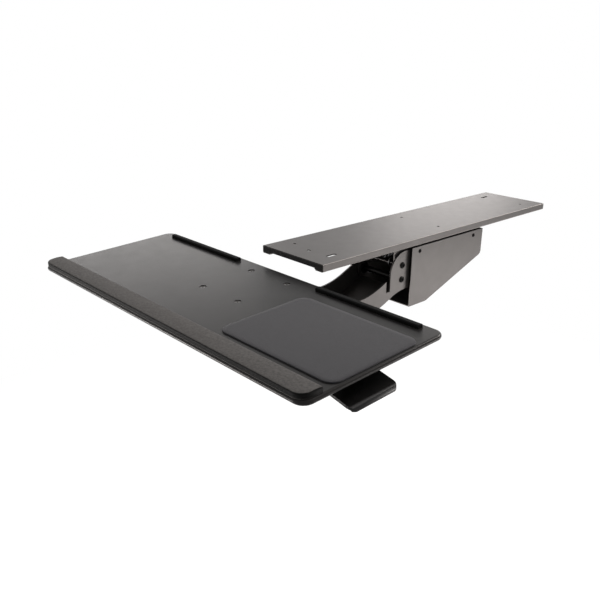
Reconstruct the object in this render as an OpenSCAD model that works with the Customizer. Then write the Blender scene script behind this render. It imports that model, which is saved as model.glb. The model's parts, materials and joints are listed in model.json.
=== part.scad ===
// Adjustable keyboard tray that hangs under a desk.
// A steel rail is screwed to the underside of the desk. A carriage slides in it and carries a swivel
// housing, a counterbalanced drop arm, and a tilting board with palm rest, back stops and mouse pad.
// Millimetres. The origin is the middle of the rail's desk face, +X is the user's right, +Y points
// away from the user and +Z is up.

/* [Track] */
// Length of the rail
track_l = 664; // [560:1:760]
// Width of the rail
track_w = 148; // [144:1:170]
// Height of the rail
track_h = 13.2; // [12.4:0.1:16]
// Sheet thickness of the rail
track_sheet = 2; // [1.6:0.1:2.3]
// Outside bend radius of the rail
track_bend = 2.6; // [2.4:0.1:3.4]
// Width of each inward lip of the rail
track_lip = 18; // [14:0.5:21]
// Height of the end caps in the middle of the rail
cap_h = 9.5; // [7:0.5:11]
// Depth of the end caps' plugs in the guide rails
cap_l = 9; // [4:0.5:14]
// Distance between the two rows of desk screw holes
desk_row = 90; // [70:1:104]
// Distance from one desk screw hole to the next along the rail
desk_pitch = 285; // [200:1:300]
// Diameter of the desk screw holes
desk_hole = 5.5; // [4:0.1:7]
// Length of the two adjusting slots
desk_slot = 22; // [12:1:32]
// Width of the two adjusting slots
desk_slot_w = 7; // [5:0.1:9]
// Distance of the middle hole from the front end of the rail
nose_hole = 38; // [24:1:60]
// Diameter of the middle hole
nose_d = 8; // [5:0.1:10]
// Thickness of the rubber end bumpers
bumper_t = 5; // [3:0.5:8]
// Width of the rubber end bumpers
bumper_w = 40; // [20:1:80]

/* [Carriage] */
// Length of the slide plate
slide_l = 150; // [110:1:180]
// Thickness of the slide plate
slide_t = 3; // [2:0.1:4]
// Length of one glide pad
glide_l = 40; // [20:1:50]
// Gap between glide pads and rail
glide_gap = 0.3; // [0.2:0.05:0.5]
// Width of the glide pad outside the slide plate
glide_wall = 5.5; // [3:0.1:8]
// Depth of the glide pad on the slide plate
glide_grip = 8; // [4:0.1:12]
// Distance of the swivel axis behind the middle of the rail
swivel_y = 20; // [-40:1:60]
// Diameter of the swivel bolt
swivel_d = 12; // [10:0.1:14]
// Diameter of the swivel bolt's low head
swivel_head = 26; // [20:0.5:32]
// Diameter of the thrust washer
thrust_d = 46; // [36:0.5:48]
// Radius at which the swivel stop pin stands
stop_r = 30; // [29:0.5:34]
// Diameter of the swivel stop pin
stop_d = 6; // [4:0.1:7]
// Swivel to each side
swivel_range = 90; // [45:1:90]

/* [Housing] */
// Sheet thickness of the swivel bracket
bracket_t = 3; // [2.5:0.1:3.5]
// Gap between the rail and the swivel bracket
bracket_gap = 1; // [0.6:0.1:2]
// Distance of the bracket's rear end behind the swivel axis
bracket_rear = 98; // [92:1:104]
// Radius of the bracket cheek round the lift pivot
cheek_r = 17; // [15:0.5:18]
// Sheet thickness of the cover
cover_t = 1.5; // [1:0.1:2.5]
// Distance of the cover's front edge before the swivel axis
cover_front = 108; // [98:1:112]
// Distance of the cover's rear end behind the swivel axis
cover_rear = 113; // [108:1:130]
// Depth of the cover's top edge below the desk
cover_top = 24; // [19:0.5:26]
// Depth of the cover's flat bottom below the desk
cover_bottom = 137.5; // [120:0.5:150]
// Length of the cover's flat bottom
cover_flat = 49; // [30:1:70]
// Depth of the cover's rear end below the desk
cover_tail = 76; // [64:1:90]
// Gap between arm and cover
cover_gap = 5.5; // [5:0.1:8]

/* [Arm] */
// Outside width of the arm
arm_w = 100; // [96:0.5:108]
// Sheet thickness of the arm
arm_t = 3; // [2.5:0.1:3.5]
// Height of the arm's side walls
arm_h = 36.5; // [34:0.5:38]
// Downward slope of the rear part of the arm
arm_drop = 24; // [21:0.5:27]
// Depth of the arm's level middle part below the lift pivot
arm_dip = 33.5; // [31:0.5:37]
// Length of the arm's level middle part
arm_level = 125; // [110:1:135]
// Radius of the rear bend on the arm's upper edge
arm_bend_r = 150; // [80:1:170]
// Radius of the front bend on the arm's upper edge
arm_rise_r = 60; // [30:1:90]
// Radius of the arch in the lower edge of the ears
arch_r = 94; // [90:1:100]
// Distance of the arch's highest point behind the point of the lower edge square below the pivot
arch_back = 6; // [3:0.5:6.5]
// Radius of the arm's rounded front end
head_r = 15; // [12:0.5:16]
// Radius of the ear's upper front corner
ear_r = 40; // [37:0.5:42]
// Distance from the swivel axis to the lift pivot
pivot_reach = 126; // [120:1:132]
// Depth of the lift pivot below the desk
pivot_drop = 81; // [76:0.5:90]
// Distance of the spring shaft above the lift pivot
spring_r = 27; // [25:0.5:30]
// Width of the notch in the right wall
notch_w = 10.5; // [6:0.5:14]
// Depth of the notch below the lift pivot
notch_d = 17; // [4:0.5:20]
// Upward travel of the arm in degrees
lift_up = 6; // [3:1:8]
// Downward travel of the arm in degrees
lift_down = 20; // [10:1:22]

/* [Shafts] */
// Diameter of the lift pivot shaft
pivot_d = 12; // [10:0.1:13]
// Diameter of the spring shaft and of the spring anchor pin
spring_pin_d = 8; // [6:0.1:9]
// Diameter of the tilt shaft
tilt_d = 10; // [8:0.1:11]
// Diameter of the shaft screws
screw_d = 5; // [4:0.1:5.4]
// Diameter of the shaft screws' domed heads
screw_head = 12; // [10:0.1:13]
// Height of the shaft screws' domed heads
screw_head_h = 3.8; // [3:0.1:4.4]
// Thickness of the friction washers
washer_t = 1.8; // [1.2:0.1:2.4]
// Width of the lift pivot's friction washers round the shaft
friction_rim = 9; // [5:0.5:9.5]
// Width of the tilt shaft's friction washers round the shaft
tilt_rim = 7; // [4:0.5:9]
// Radial running clearance of shafts
fit = 0.06; // [0.03:0.01:0.1]
// Wire diameter of the lift springs
spring_wire = 2.4; // [1.8:0.1:2.8]
// Coil radius of the lift springs
spring_coil = 8; // [7.2:0.1:9]
// Turns of each lift spring
spring_turns = 18; // [8:1:22]
// Distance between the two lift springs
spring_apart = 44; // [36:1:56]

/* [Tray] */
// Width of the tray board
tray_w = 660; // [560:1:760]
// Depth of the tray board from back to front
tray_d = 260; // [246:1:300]
// Thickness of the tray board
tray_t = 8; // [7:0.1:12]
// Corner radius of the tray board
tray_corner = 17; // [12:0.5:36]
// Distance from the lift pivot to the back edge of the tray
tray_reach = 246; // [236:1:256]
// Depth of the tray's back edge below the desk
tray_drop = 26.4; // [24:0.2:34]
// Forward slope of the tray
tray_tilt = 2.9; // [0:0.1:5]
// Distance between the tray screws from left to right
tray_row = 88; // [76:1:100]
// Distance between the tray screws from back to front
tray_pitch = 98; // [84:1:110]
// Depth of the tray screws' heads below the board's face
tray_sink = 1; // [0.2:0.1:1.6]
// Distance of the tilt shaft before the tray's back edge
tilt_reach = 79; // [74:1:86]
// Distance of the tilt shaft below the tilt bracket's plate
tilt_drop = 24; // [22:0.5:28]
// Depth of the palm rest from back to front
palm_d = 36; // [32:0.5:44]
// Height of the palm rest
palm_h = 10; // [8:0.5:14]
// Edge radius of the palm rest
palm_r = 2; // [1.5:0.5:6]
// Length of each back stop
stop_l = 199; // [120:1:210]
// Distance of each back stop from the middle of the tray
stop_gap = 98; // [60:1:100]
// Depth of each back stop from back to front
back_stop_d = 10; // [8:0.5:12]
// Height of each back stop
back_stop_h = 5.5; // [4:0.1:8]
// Distance of the back stops from the tray's back edge
back_stop_y = 9.5; // [6:0.5:12]
// Width of the mouse pad
pad_w = 222; // [180:1:226]
// Depth of the mouse pad
pad_d = 163; // [120:1:166]
// Thickness of the mouse pad
pad_t = 2; // [1:0.1:4]
// Corner radius of the mouse pad
pad_corner = 18; // [8:0.5:30]
// Distance of the mouse pad from the right edge of the tray
pad_side = 5; // [4:0.5:20]
// Distance of the mouse pad from the palm rest
pad_front = 14; // [4:0.5:16]

/* [Release lever] */
// Diameter of the release rod
rod_d = 8; // [7:0.1:9]
// Distance of the release rod before the tilt shaft
rod_fwd = 26; // [25:0.5:30]
// Distance of the release rod above the tilt shaft
rod_up = 8; // [6:0.5:9]
// Radius of the brake fingers' noses
nose_r = 8; // [6:0.5:9]
// Gap between the brake fingers and the arm's end
brake_gap = 0.3; // [0.2:0.05:0.6]
// Length of the paddle across the tray
paddle_l = 62; // [50:1:74]
// Width of the paddle from back to front
paddle_w = 86; // [70:1:96]
// Thickness of the paddle
paddle_t = 4; // [3:0.1:5]
// Outside radius of the paddle's curled outer edge
paddle_lip = 9; // [6:0.5:12]
// Downward slope of the paddle
paddle_slope = 12; // [6:0.5:16]
// Distance of the paddle's outer edge beyond the tray
paddle_over = 8; // [2:0.5:14]
// Distance of the rod bearing from the middle of the tray
bearing_x = 198; // [150:1:220]

/* [Hidden] */
$fn = 72;

// Rail
rail_in = track_w / 2 - track_sheet;
rail_top = -track_sheet;
lip_top = track_sheet - track_h;
bumper_face = track_l / 2 - track_sheet - bumper_t;

// Carriage
slide_top = (rail_top + lip_top + slide_t) / 2;
slide_bot = slide_top - slide_t;
slide_half = rail_in - glide_gap - glide_wall;
swivel_head_h = rail_top - slide_top - 0.8;

// Widths across the mechanism, from the arm inwards and outwards
arm_in = arm_w / 2 - arm_t;
cheek_out = arm_in - washer_t;
cheek_in = cheek_out - bracket_t;
cover_in = arm_w / 2 + cover_gap;
cover_out = cover_in + cover_t;

// Housing heights
bracket_top = -track_h - bracket_gap;
bracket_bot = bracket_top - bracket_t;
washer_bot = bracket_bot - 2;
nut_bot = washer_bot - 8;

// Lift pivot, spring shaft and spring anchor, seen from the side as [y, z]
pivot = [swivel_y - pivot_reach, -pivot_drop];
spring_pin = pivot + [0, spring_r];
anchor = [swivel_y + bracket_rear - 12, spring_pin[1] + 7];
cover_screw_y = [swivel_y - cover_front + 22, swivel_y + cover_rear - 31];
cover_screw_z = -cover_top - 9;
standoff_d = 9;
standoff_spigot = 6;
cover_screw_d = 4;

curl_steps = 10;

// Tray and tilt shaft
tray_y = pivot[0] - tray_reach;
tray_z = -tray_drop;
plate_t = 3;
plate_bot = -tray_t - plate_t;
tilt_local = [-tilt_reach, plate_bot - tilt_drop];
tilt = tray_point(tilt_local);
rod_local = tilt_local + [-rod_fwd, rod_up];
nose_local = tilt_local - (head_r + brake_gap + nose_r) * [cos(10), sin(10)];
flange_out = arm_in - washer_t;
flange_in = flange_out - bracket_t;
hub_r = rod_d / 2 + 5;
tray_screw_d = 5;
tray_screw_head = 10.6;

// Arm side view: the middle line falls from below the pivot, runs level and rises to the tilt shaft
arm_mid = pivot + [0, 2.3];
level_z = pivot[1] - arm_dip;
fall = [-cos(arm_drop), -sin(arm_drop)];
fall_up = [-sin(arm_drop), cos(arm_drop)];
bend_y = pivot[0] - (arm_mid[1] - level_z) / tan(arm_drop);
low_bend = [bend_y + arm_h / 2 * tan(arm_drop / 2), level_z - arm_h / 2];
rise_mid = [bend_y - arm_level, level_z];
head_dir = unit(tilt - rise_mid);
head_up = [-head_dir[1], head_dir[0]] * (head_dir[0] < 0 ? -1 : 1);
head_low = tilt - head_up * (head_r - 0.05);
half_turn = atan2(head_dir[1], -head_dir[0]) / 2;
low_rise = rise_mid - [arm_h / 2 * tan(half_turn), arm_h / 2];
ear_mid = pivot + [9, 13.5];
ear_front = ear_mid[0] - ear_r;
ear_rear = swivel_y - cover_front + 4;

// Arch of the ears, which starts from the arm's lower edge
arch_low = arm_mid - fall_up * arm_h / 2 + fall * (arch_r * sin(arm_drop) - arch_back) / cos(arm_drop);
arch_mid = arch_low - fall_up * (arch_r - 0.3);

// Release lever
paddle_out = tray_w / 2 + paddle_over;
paddle_in = paddle_out - paddle_l * cos(paddle_slope);
hub_from = paddle_in - 14;
hub_to = paddle_in + 20;
return_wire = 1.6;
return_coil = rod_d / 2 + return_wire / 2 + 1.2;
return_pitch = 2.4;
return_turns = 5.5;
return_from = arm_w / 2 + 1.6;

// A point of the tray's own side view, [y, z] from its back top edge, in the side view of the whole
function tray_point(p) = [tray_y + p[0] * cos(tray_tilt) - p[1] * sin(tray_tilt),
    tray_z + p[0] * sin(tray_tilt) + p[1] * cos(tray_tilt)];

function unit(v) = v / norm(v);
function towards(pts, i, step) = unit(pts[(i + step + len(pts)) % len(pts)] - pts[i]);
function half_angle(pts, i) = acos(towards(pts, i, -1) * towards(pts, i, 1)) / 2;

// Where a rounded corner starts, and the middle of its circle
function round_end(pts, i, step, r) = pts[i] + towards(pts, i, step) * r / tan(half_angle(pts, i));
function round_mid(pts, i, r) = pts[i]
    + unit(towards(pts, i, -1) + towards(pts, i, 1)) * r / sin(half_angle(pts, i));

// Convex outline with a radius for each corner
module soft_polygon(pts, radii) {
    corners = [for (i = [0:len(pts) - 1]) each radii[i] > 0
        ? [for (s = [-1, 1]) round_end(pts, i, s, radii[i])]
        : [pts[i]]];
    polygon(corners);
    for (i = [0:len(pts) - 1])
        if (radii[i] > 0)
            translate(round_mid(pts, i, radii[i]))
                circle(radii[i]);
}

module soft_rect(w, d, r) {
    square([w - 2 * r, d], center = true);
    square([w, d - 2 * r], center = true);
    for (x = [-1, 1], y = [-1, 1])
        translate([x * (w / 2 - r), y * (d / 2 - r)])
            circle(r);
}

// Obround outline along Y
module slot_shape(l, w) {
    square([w, l - w], center = true);
    for (y = [-1, 1])
        translate([0, y * (l - w) / 2])
            circle(d = w);
}

// Side view outline, [y, z], drawn out from x0 to x1
module side(x0, x1) {
    translate([x0, 0, 0])
        rotate([90, 0, 90])
            linear_extrude(x1 - x0)
                children();
}

// Round bar along X from x0 to x1 at [y, z]
module bar(x0, x1, at, d) {
    translate([x0, at[0], at[1]])
        rotate([0, 90, 0])
            cylinder(d = d, h = x1 - x0);
}

module both_sides() {
    children();
    mirror([1, 0, 0])
        children();
}

module in_tray() {
    translate([0, tray_y, tray_z])
        rotate([tray_tilt, 0, 0])
            children();
}

// Curved slot about X through a side wall, from angle a0 to a1 measured forward of straight up, with
// slightly wider round ends
module arc_slot(x0, x1, at, r, w, a0, a1) {
    translate([x0, at[0], at[1]])
        rotate([0, 90, 0])
            rotate([0, 0, 180 + a0]) {
                rotate_extrude(angle = a1 - a0)
                    translate([r - w / 2, 0])
                        square([w, x1 - x0]);
                for (a = [0, a1 - a0])
                    rotate([0, 0, a])
                        translate([r, 0, 0])
                            cylinder(d = w + 0.6, h = x1 - x0);
            }
}

// Screw along +Z: shank below the plane z = 0, domed head with a hexagon socket above it
module dome_screw(d, head, head_h, l) {
    cap = (head * head / 4 + head_h * head_h * 0.64) / (1.6 * head_h);
    difference() {
        union() {
            translate([0, 0, -l])
                cylinder(d = d, h = l);
            rotate_extrude()
                intersection() {
                    translate([0, head_h - cap])
                        circle(cap);
                    square([head / 2, head_h]);
                }
        }
        translate([0, 0, head_h * 0.45])
            cylinder(d = head * 0.42, h = head_h, $fn = 6);
    }
}

module hex_nut(d, across, h) {
    difference() {
        cylinder(d = across / cos(30), h = h, $fn = 6);
        translate([0, 0, -1])
            cylinder(d = d, h = h + 2);
    }
}

// Direction of a path at point i
function heading(path, i) = unit(path[min(i + 1, len(path) - 1)] - path[max(i - 1, 0)]);
function square_to(v, axis) = unit(v - (v * axis) * axis);

// Sideways directions that follow a path without twisting
function normals(path, first) = [for (i = 0, n = square_to(first, heading(path, 0)); i < len(path);
    i = i + 1, n = i < len(path) ? square_to(n, heading(path, i)) : n) n];

// Least gap between turns of a wire, between points that are not close neighbours on it
function wire_gap(path, wire, skip) = min([for (i = [0:len(path) - 1], j = [0:len(path) - 1])
    if (j > i + skip) norm(path[i] - path[j])]) - wire;

// One unbroken wire along a path
module wire_along(path, wire, first, sides = 6) {
    side_dirs = normals(path, first);
    last = (len(path) - 1) * sides;
    rings = [for (i = [0:len(path) - 1], j = [0:sides - 1])
        let (n = side_dirs[i], b = cross(heading(path, i), n), a = 360 * j / sides)
        path[i] + wire / 2 * (cos(a) * n + sin(a) * b)];
    walls = [for (i = [0:len(path) - 2], j = [0:sides - 1])
        let (p = i * sides + j, q = i * sides + (j + 1) % sides)
        each [[q, p, p + sides], [q, p + sides, q + sides]]];
    ends = [for (j = [1:sides - 2]) each [[0, j, j + 1], [last, last + j + 1, last + j]]];
    polyhedron(rings, concat(walls, ends));
}

// A shaft between the arm's walls, tapped at both ends for its screws
module tapped_shaft(at, d) {
    difference() {
        bar(-arm_in, arm_in, at, d);
        both_sides()
            bar(arm_in - 13, arm_in + 1, at, screw_d + 0.1);
    }
}

module shaft_screws(at) {
    both_sides()
        translate([arm_w / 2, at[0], at[1]])
            rotate([0, 90, 0])
                dome_screw(screw_d, screw_head, screw_head_h, arm_t + 10);
}

module washer_pair(at, d, hole) {
    both_sides()
        difference() {
            bar(cheek_out, arm_in, at, d);
            bar(cheek_out - 1, arm_in + 1, at, hole);
        }
}

// Flanged bushings in the walls that reach from x = wall - bracket_t to x = wall
module bushing_pair(wall, at, d) {
    both_sides()
        difference() {
            union() {
                bar(wall - bracket_t, wall, at, d + 4);
                bar(wall - bracket_t - 1.5, wall - bracket_t, at, d + 9);
            }
            bar(wall - bracket_t - 2, wall + 1, at, d + 2 * fit);
        }
}

module track_plate() {
    edge = track_sheet * 0.8;
    color([0.20, 0.19, 0.19])
        difference() {
            translate([0, track_l / 2, 0])
                rotate([90, 0, 0])
                    linear_extrude(track_l) {
                        translate([edge - track_w / 2, -track_sheet])
                            square([track_w - 2 * edge, track_sheet]);
                        both_sides()
                            translate([track_w / 2 - edge, -track_sheet])
                                square([edge, track_sheet - edge]);
                        both_sides()
                            translate([track_w / 2 - edge, -edge])
                                intersection() {
                                    circle(edge);
                                    square(edge);
                                }
                    }
            for (p = [[-1, -1], [-1, 0], [1, 0], [1, 1]])
                translate([p[0] * desk_row / 2, p[1] * desk_pitch, -track_sheet - 1])
                    cylinder(d = desk_hole, h = track_sheet + 2);
            for (s = [-1, 1])
                translate([-s * desk_row / 2, s * desk_pitch, -track_sheet - 1])
                    linear_extrude(track_sheet + 2)
                        slot_shape(desk_slot, desk_slot_w);
            translate([0, nose_hole - track_l / 2, -track_sheet - 1])
                cylinder(d = nose_d, h = track_sheet + 2);
        }
}

// Guide rail under the right edge of the plate: side wall, bend and inward lip
module guide_rail() {
    color([0.20, 0.19, 0.19])
        translate([0, track_l / 2, 0])
            rotate([90, 0, 0])
                linear_extrude(track_l) {
                    translate([rail_in, track_bend - track_h])
                        square([track_sheet, track_h - track_sheet - track_bend]);
                    translate([track_w / 2 - track_lip, -track_h])
                        square([track_lip - track_bend, track_sheet]);
                    translate([track_w / 2 - track_bend, track_bend - track_h])
                        intersection() {
                            difference() {
                                circle(track_bend);
                                circle(track_bend - track_sheet);
                            }
                            translate([0, -track_bend])
                                square(track_bend);
                        }
                }
}

module guide_rail_left() {
    mirror([1, 0, 0])
        guide_rail();
}

module guide_rail_right() {
    guide_rail();
}

// Moulded cap in the rear end of the rail: a strip between two plugs in the guide rails
module rail_cap() {
    plug_in = track_w / 2 - track_lip - 2;
    color([0.08, 0.08, 0.08]) {
        translate([-plug_in, track_l / 2 - track_sheet, -cap_h])
            cube([2 * plug_in, track_sheet, cap_h - track_sheet]);
        both_sides()
            translate([plug_in, track_l / 2 - cap_l, lip_top])
                cube([rail_in - plug_in, cap_l, rail_top - lip_top]);
    }
}

module rail_cap_front() {
    mirror([0, 1, 0])
        rail_cap();
}

module rail_cap_rear() {
    rail_cap();
}

module end_bumpers() {
    color([0.06, 0.06, 0.06])
        for (s = [0, 180])
            rotate([0, 0, s])
                translate([-bumper_w / 2, bumper_face, -cap_h + 0.5])
                    cube([bumper_w, bumper_t, cap_h - track_sheet - 1]);
}

module slide_plate() {
    color([0.45, 0.45, 0.46])
        translate([0, swivel_y, slide_bot])
            difference() {
                linear_extrude(slide_t)
                    soft_rect(2 * slide_half, slide_l, 6);
                translate([0, 0, -1])
                    cylinder(d = swivel_d, h = slide_t + 2);
                translate([0, -stop_r, -1])
                    cylinder(d = stop_d, h = slide_t + 2);
            }
}

module glide_pads() {
    color([0.85, 0.85, 0.82])
        for (x = [0, 1], s = [-1, 1])
            mirror([x, 0, 0])
                translate([0, swivel_y + s * (slide_l / 2 - 8 - glide_l / 2), 0])
                    difference() {
                        translate([slide_half - glide_grip, -glide_l / 2, lip_top + glide_gap])
                            cube([glide_grip + glide_wall, glide_l, rail_top - lip_top - 2 * glide_gap]);
                        translate([slide_half - glide_grip - 1, -glide_l / 2 - 1, slide_bot])
                            cube([glide_grip + 1, glide_l + 2, slide_t]);
                    }
}

module swivel_bolt() {
    color([0.70, 0.70, 0.72])
        translate([0, swivel_y, 0]) {
            translate([0, 0, slide_top])
                cylinder(d = swivel_head, h = swivel_head_h);
            translate([0, 0, nut_bot - 2])
                cylinder(d = swivel_d, h = slide_top - nut_bot + 2);
        }
}

module swivel_stop_pin() {
    color([0.70, 0.70, 0.72])
        translate([0, swivel_y - stop_r, bracket_bot - 1.5])
            cylinder(d = stop_d, h = slide_top - bracket_bot + 1.5);
}

module thrust_washer() {
    color([0.85, 0.85, 0.82])
        translate([0, swivel_y, bracket_top])
            difference() {
                cylinder(d = thrust_d, h = slide_bot - bracket_top);
                translate([0, 0, -1])
                    cylinder(d = swivel_d + 2 * fit, h = slide_bot - bracket_top + 2);
            }
}

module swivel_washer() {
    color([0.70, 0.70, 0.72])
        translate([0, swivel_y, washer_bot])
            difference() {
                cylinder(d = swivel_d + 18, h = bracket_bot - washer_bot);
                translate([0, 0, -1])
                    cylinder(d = swivel_d + 2 * fit, h = bracket_bot - washer_bot + 2);
            }
}

module swivel_nut() {
    color([0.70, 0.70, 0.72])
        translate([0, swivel_y, nut_bot])
            hex_nut(swivel_d + 0.1, swivel_d + 7, washer_bot - nut_bot);
}

// Cheek outline below the bend: its lower edge runs from the rear corner past the round front end
module bracket_cheek() {
    top = bracket_top - 6;
    rear = [swivel_y + bracket_rear, anchor[1] - 12];
    line = rear - pivot;
    slope = atan2(line[1], line[0]) + asin(cheek_r / norm(line));
    front = pivot[0] - cheek_r;
    soft_polygon([[front, top], [rear[0], top], rear, [front, rear[1] - (rear[0] - front) * tan(slope)]],
        [0, 0, 8, cheek_r]);
}

// Top plate of the bracket with its two bends, seen from the front
module bracket_section() {
    difference() {
        translate([0, -12])
            soft_rect(2 * cheek_out, 24, bracket_t + 1.5);
        translate([0, -12 - bracket_t])
            soft_rect(2 * cheek_in, 24, 1.5);
        translate([-arm_w, -28])
            square([2 * arm_w, 20]);
    }
}

module swivel_bracket() {
    color([0.16, 0.16, 0.16])
        difference() {
            union() {
                translate([0, swivel_y + bracket_rear, bracket_top])
                    rotate([90, 0, 0])
                        linear_extrude(bracket_rear + pivot_reach + cheek_r)
                            bracket_section();
                both_sides()
                    side(cheek_in, cheek_out)
                        bracket_cheek();
            }
            translate([0, swivel_y, bracket_bot - 1])
                cylinder(d = swivel_d + 2 * fit, h = bracket_t + 2);
            translate([0, swivel_y, bracket_bot - 1])
                rotate([0, 0, 270 - swivel_range])
                    rotate_extrude(angle = 2 * swivel_range)
                        translate([stop_r - stop_d / 2 - 0.4, 0])
                            square([stop_d + 0.8, bracket_t + 2]);
            for (a = [-1, 1])
                translate([0, swivel_y, bracket_bot - 1])
                    rotate([0, 0, 270 + a * swivel_range])
                        translate([stop_r, 0, 0])
                            cylinder(d = stop_d + 1.4, h = bracket_t + 2);
            bar(-arm_w, arm_w, pivot, pivot_d + 4);
            both_sides()
                arc_slot(cheek_in - 1, cheek_out + 1, pivot, spring_r, spring_pin_d + 0.8, -lift_up, lift_down);
            bar(-arm_w, arm_w, anchor, spring_pin_d);
            for (y = cover_screw_y)
                bar(-arm_w, arm_w, [y, cover_screw_z], standoff_spigot);
        }
}

module pivot_bushings() {
    color([0.85, 0.85, 0.82])
        bushing_pair(cheek_out, pivot, pivot_d);
}

module cover_standoffs() {
    color([0.70, 0.70, 0.72])
        for (y = cover_screw_y)
            both_sides()
                difference() {
                    union() {
                        bar(cheek_out, cover_in, [y, cover_screw_z], standoff_d);
                        bar(cheek_in, cheek_out, [y, cover_screw_z], standoff_spigot);
                    }
                    bar(cover_in - 8, cover_in + 1, [y, cover_screw_z], cover_screw_d + 0.1);
                }
}

// Side outline of the cover, drawn in by the inset t below and behind
module cover_outline(t, open) {
    front = swivel_y - cover_front;
    knee = front + cover_flat;
    rear = swivel_y + cover_rear;
    slope = atan2(cover_bottom - cover_tail, rear - knee);
    low = t - cover_bottom;
    soft_polygon([[front - open, low], [knee - t * tan(slope / 2), low],
        [rear - t, -cover_bottom + (rear - t - knee) * tan(slope) + t / cos(slope)],
        [rear - t, open - cover_top], [front - open, open - cover_top]], [0, 16 - t, 10 - t, 0, 0]);
}

module mechanism_cover() {
    color([0.24, 0.23, 0.23])
        difference() {
            side(-cover_out, cover_out)
                cover_outline(0, 0);
            side(-cover_in, cover_in)
                cover_outline(cover_t, 5);
            for (y = cover_screw_y)
                bar(-arm_w, arm_w, [y, cover_screw_z], cover_screw_d + 0.4);
        }
}

module cover_screws() {
    color([0.12, 0.12, 0.12])
        for (y = cover_screw_y)
            both_sides()
                translate([cover_out, y, cover_screw_z])
                    rotate([0, 90, 0])
                        dome_screw(cover_screw_d, 7.4, 2.4, cover_t + 6);
}

module spring_anchor_pin() {
    color([0.70, 0.70, 0.72])
        difference() {
            bar(-cheek_out - 3, cheek_out + 3, anchor, spring_pin_d);
            both_sides()
                difference() {
                    bar(cheek_out, cheek_out + 1.2, anchor, spring_pin_d + 4);
                    bar(cheek_out - 1, cheek_out + 3, anchor, spring_pin_d - 2);
                }
        }
}

module anchor_clips() {
    color([0.40, 0.40, 0.41])
        both_sides()
            difference() {
                bar(cheek_out, cheek_out + 1.2, anchor, spring_pin_d + 6);
                bar(cheek_out - 1, cheek_out + 3, anchor, spring_pin_d - 2);
                translate([cheek_out - 1, anchor[0] - spring_pin_d * 0.28, anchor[1]])
                    cube([4, spring_pin_d * 0.56, spring_pin_d]);
            }
}

// Extension spring along +Z between two pins that lie along X, the first at the origin
function spring_loop() = [for (a = [-120:15:90])
    [0, spring_coil * sin(a), spring_coil * (1 - cos(a)) - spring_wire / 2 - spring_pin_d / 2 - 0.3]];
function spring_curls(z0, z1) = [for (k = [1:spring_turns * curl_steps - 1])
    let (a = 90 + 360 * k / curl_steps)
    [spring_coil * cos(a), spring_coil * sin(a), z0 + (z1 - z0) * k / (spring_turns * curl_steps)]];
function spring_path(l) = let (tail = 2 * spring_coil + 4, loop = spring_loop(), n = len(loop) - 1)
    concat(loop, [[0, spring_coil, tail]], spring_curls(tail, l - tail), [[0, spring_coil, l - tail]],
        [for (i = [0:n]) [0, loop[n - i][1], l - loop[n - i][2]]]);

module lift_springs() {
    line = anchor - spring_pin;
    path = spring_path(norm(line));
    echo("lift spring, least gap between turns", wire_gap(path, spring_wire, curl_steps / 2));
    color([0.55, 0.55, 0.56])
        for (x = [-1, 1])
            translate([x * spring_apart / 2, spring_pin[0], spring_pin[1]])
                rotate([atan2(line[1], line[0]) - 90, 0, 0])
                    wire_along(path, spring_wire, [1, 0, 0]);
}

// Line along the arm, t above its lower edge, from the ears to the front end
function arm_line(t) = [
    arm_mid + fall_up * (t - arm_h / 2) - fall * (ear_front + 12 - pivot[0]) / cos(arm_drop),
    low_bend + [-t * tan(arm_drop / 2), t],
    low_rise + [t * tan(half_turn), t],
    head_low + head_up * min(t, 2 * head_r - 0.1)];

// Strip along the arm from its lower edge to t above it, rounded at both bends
module arm_strip(t) {
    low = arm_line(0);
    top = arm_line(t);
    radii = [0, arm_bend_r + arm_h, arm_rise_r + arm_h];
    difference() {
        polygon(concat(low, [top[3]],
            [for (i = [2, 1], s = [1, -1]) round_end(top, i, s, radii[i] - t)], [top[0]]));
        for (i = [1, 2]) {
            translate(round_mid(top, i, radii[i] - t))
                circle(radii[i] - t + 0.05);
            difference() {
                polygon([round_end(low, i, -1, radii[i]), low[i] - [0, 5], round_end(low, i, 1, radii[i])]);
                translate(round_mid(low, i, radii[i]))
                    circle(radii[i] + 0.05);
            }
        }
    }
}

// Everything before the arch and up to h above the line of the arm's lower edge
module before_arch(l, h) {
    translate(arch_low)
        rotate(arm_drop)
            translate([-l - 300, -300])
                square([300, 300 + h]);
}

module after(y) {
    translate([y, -500])
        square([400, 1000]);
}

module arm_ear() {
    difference() {
        union() {
            translate(ear_mid)
                circle(ear_r);
            translate([ear_front, arch_mid[1]])
                square([2 * ear_r, ear_mid[1] - arch_mid[1]]);
        }
        before_arch(0, 0.5);
        after(ear_rear);
    }
}

module arm_wall() {
    difference() {
        union() {
            arm_strip(arm_h);
            translate(tilt)
                circle(head_r);
            arm_ear();
        }
        translate(arch_mid)
            circle(arch_r);
    }
}

// The floor of the channel, from below the lift pivot to shortly behind the tilt shaft
module arm_web() {
    difference() {
        union() {
            difference() {
                arm_strip(arm_t);
                after(arch_low[0]);
            }
            difference() {
                translate(arch_mid)
                    circle(arch_r + arm_t);
                before_arch(12, 300);
                before_arch(0, 0.5);
                translate([-500, arch_mid[1] - 500])
                    square([1000, 500]);
            }
        }
        translate(arch_mid)
            circle(arch_r);
        after(pivot[0] + 2);
        translate([tilt[0] + 36 - 400, -500])
            square([400, 1000]);
    }
}

module arm_channel() {
    color([0.22, 0.21, 0.21])
        difference() {
            union() {
                both_sides()
                    side(arm_in, arm_w / 2)
                        arm_wall();
                side(-arm_in, arm_in)
                    arm_web();
            }
            translate([0, ear_front - notch_w, pivot[1] - notch_d])
                cube([arm_w, notch_w, 100]);
            for (p = [pivot, spring_pin, tilt])
                bar(-arm_w, arm_w, p, screw_d + 0.4);
        }
}

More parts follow.
